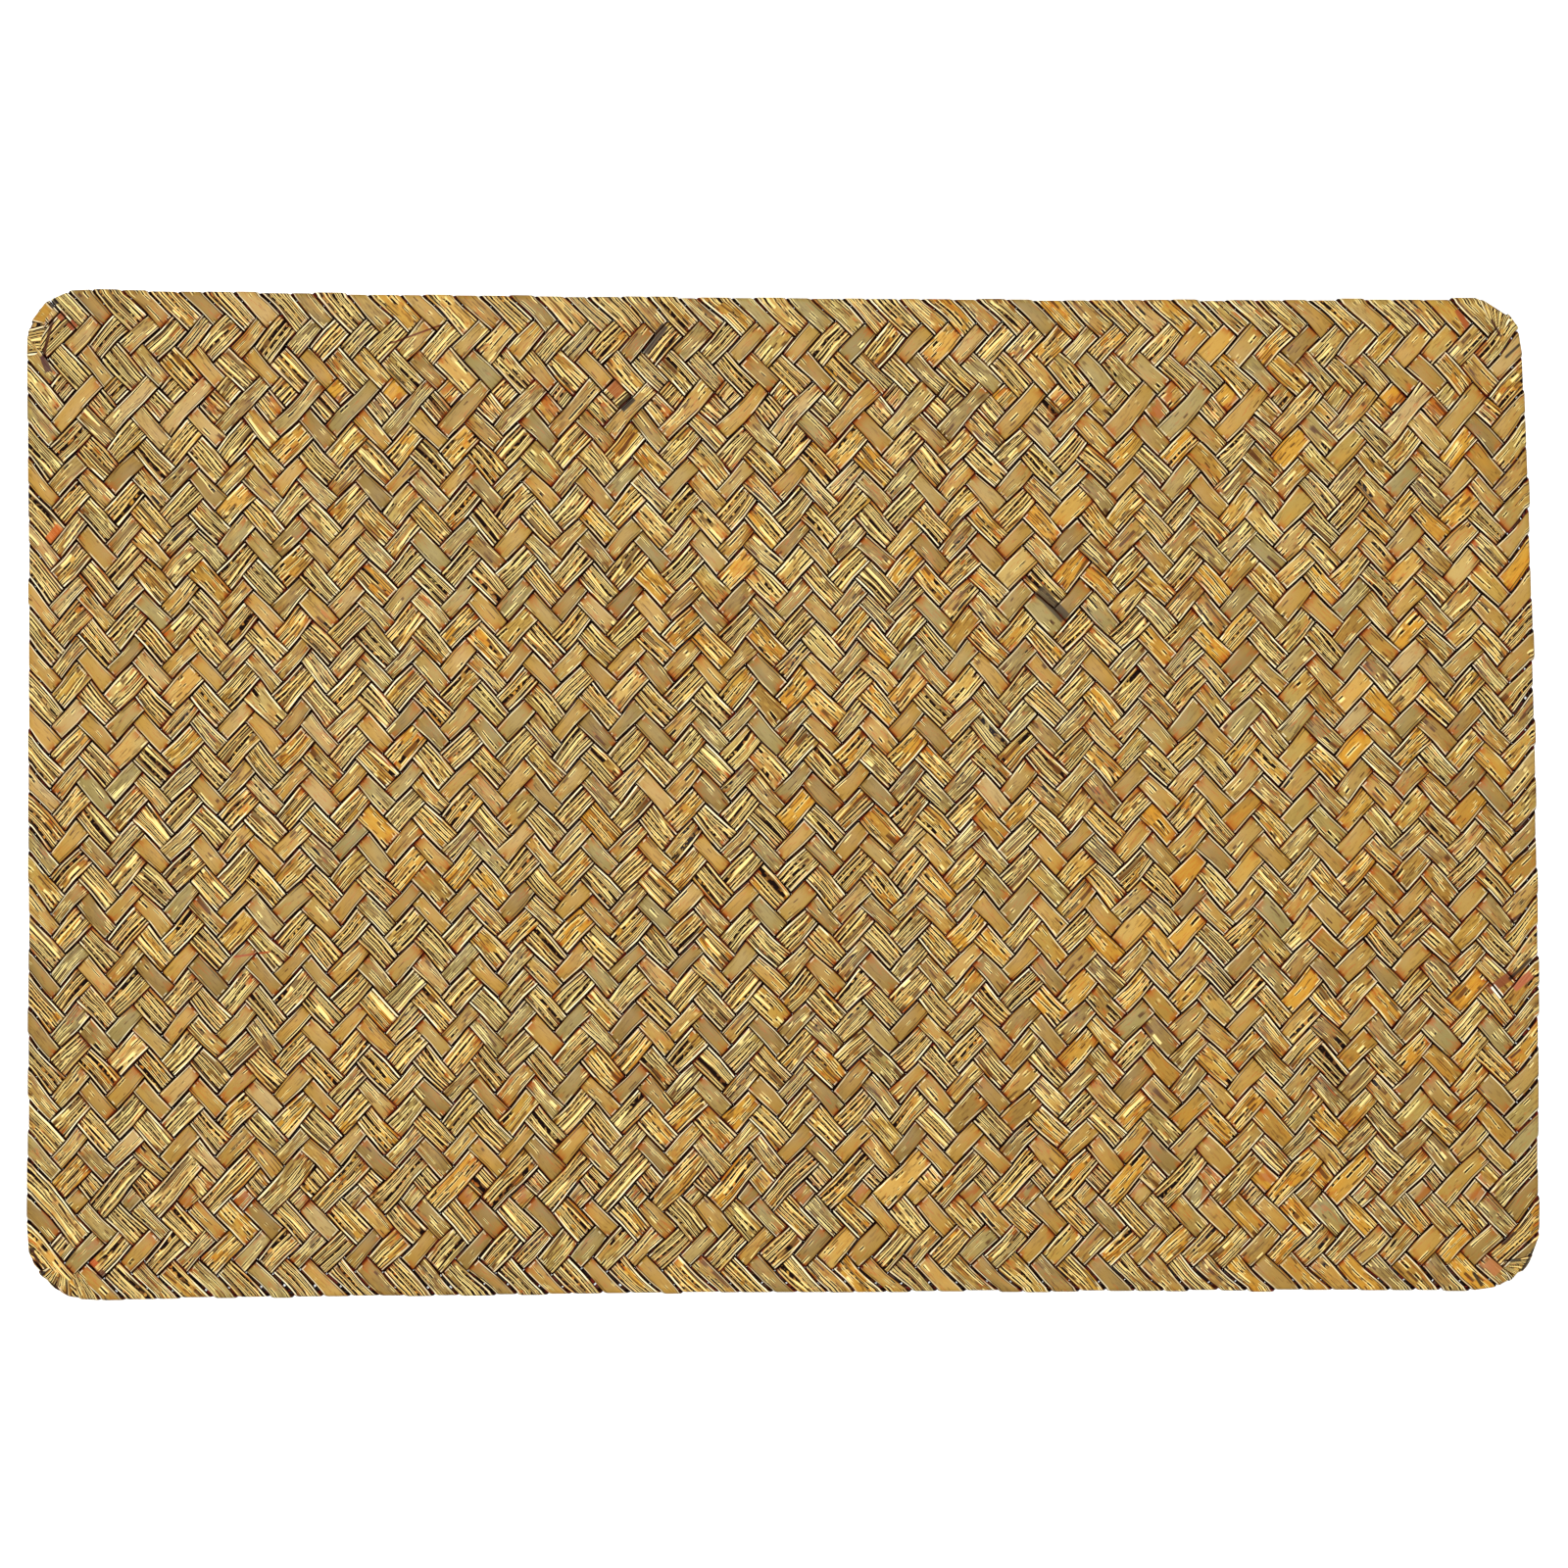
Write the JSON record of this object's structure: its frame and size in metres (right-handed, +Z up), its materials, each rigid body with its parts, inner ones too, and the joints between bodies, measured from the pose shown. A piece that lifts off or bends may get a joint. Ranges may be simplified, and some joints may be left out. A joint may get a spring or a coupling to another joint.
{
  "type": "plaited placemat",
  "caption": "Flat rectangular placemat plaited on the bias in a zigzag twill from dried plant strips, with rounded corners and a folded, bindingless rim.",
  "frame": {"origin": "centre of the underside, in the plane that the mat lies on", "axes": "+X along the mat's length, +Y across its width, +Z up out of its upper face"},
  "size_m": [0.4506, 0.3008, 0.0028],
  "materials": {
    "dried_strip": "dried plant strips, satin where smooth and matt where streaked"
  },
  "bodies": {
    "root": {"plaited_mat": "dried_strip"}
  },
  "joints": []
}
